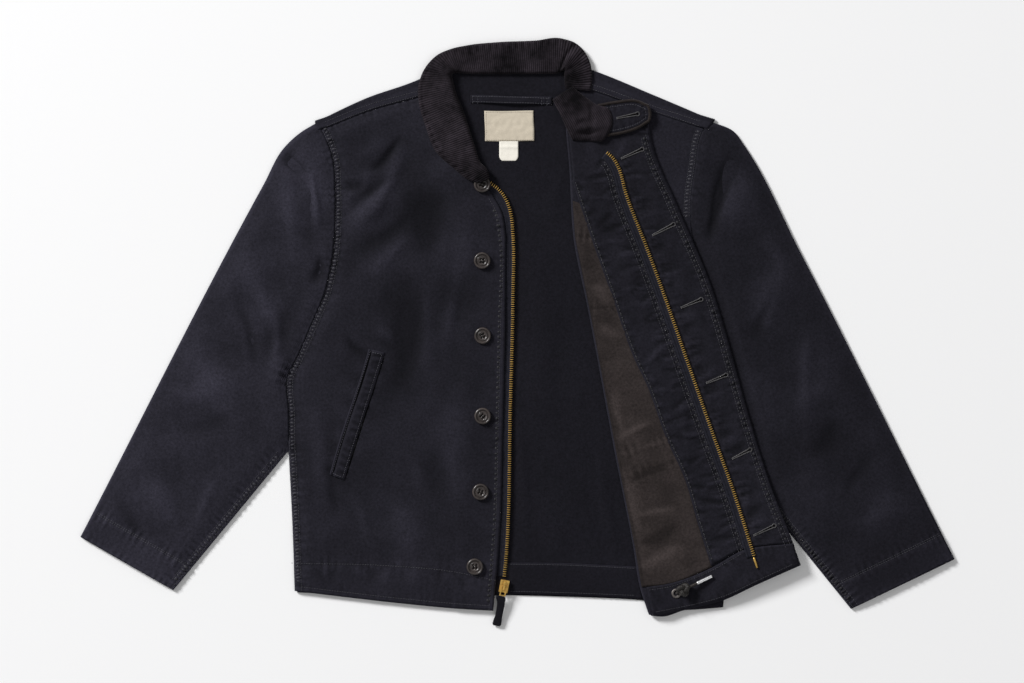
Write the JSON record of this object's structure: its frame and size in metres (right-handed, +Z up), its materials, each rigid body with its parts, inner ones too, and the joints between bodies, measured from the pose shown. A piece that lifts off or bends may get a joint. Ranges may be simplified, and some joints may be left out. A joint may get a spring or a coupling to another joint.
{
  "type": "utility jacket",
  "caption": "Navy cotton utility jacket with corduroy collar, laid flat: one front closed, the other folded open to show zip, facing and lining.",
  "frame": {"origin": "middle of the outline's length and width, on the surface that the jacket lies on", "axes": "+X from the wearer's right sleeve to the left sleeve, +Y from hem to collar, +Z up from the surface"},
  "size_m": [1.067, 0.7187, 0.0195],
  "materials": {
    "navy_cloth": "brushed cotton with a dull sheen",
    "navy_inside": "plain woven reverse, matt",
    "corduroy": "fine corduroy pile",
    "brown_lining": "plain cotton, matt",
    "label_cloth": "woven cream cloth",
    "tab_cloth": "smooth woven tape",
    "zip_tape": "woven tape",
    "zip_brass": "satin brass",
    "pull_leather": "worn dark leather",
    "dark_metal": "dark bronzed",
    "button_horn": "semi-gloss, dark horn",
    "cord_brown": "braided cord",
    "tip_metal": "smooth, light grey"
  },
  "bodies": {
    "jacket": {"back": "navy_inside", "front_right": "navy_cloth", "front_left": "navy_cloth", "sleeve_right": "navy_cloth", "sleeve_left": "navy_cloth", "collar": "corduroy", "collar_left_end": "corduroy", "throat_tab": "navy_cloth", "facing_left": "navy_cloth", "lining_left": "brown_lining", "hem_facing_back": "navy_inside", "hem_facing_left": "navy_inside", "welt_right": "navy_cloth", "hang_loop": "navy_cloth", "neck_label": "label_cloth", "size_tab": "tab_cloth", "zip_tape_right": "zip_tape", "zip_tape_left": "zip_tape", "zip_teeth_right": "zip_brass", "zip_teeth_left": "zip_brass", "zip_pin_left": "zip_brass", "zip_slider": "zip_brass", "button_1": "button_horn", "button_2": "button_horn", "button_3": "button_horn", "button_4": "button_horn", "button_5": "button_horn", "button_6": "button_horn", "hem_eyelet": "dark_metal", "drawcord": "cord_brown", "drawcord_knot": "cord_brown", "drawcord_tip": "tip_metal"},
    "zip_pull": {"pull_link": "zip_brass", "pull_tab": "pull_leather"}
  },
  "joints": [
    {"name": "pull_hinge", "type": "hinge", "parent": "jacket", "child": "zip_pull", "pos_m": [-0.0162, -0.3095, 0.0086], "axis": [-0.9814, 0.1918, 0], "range_deg": [0, 150]}
  ]
}
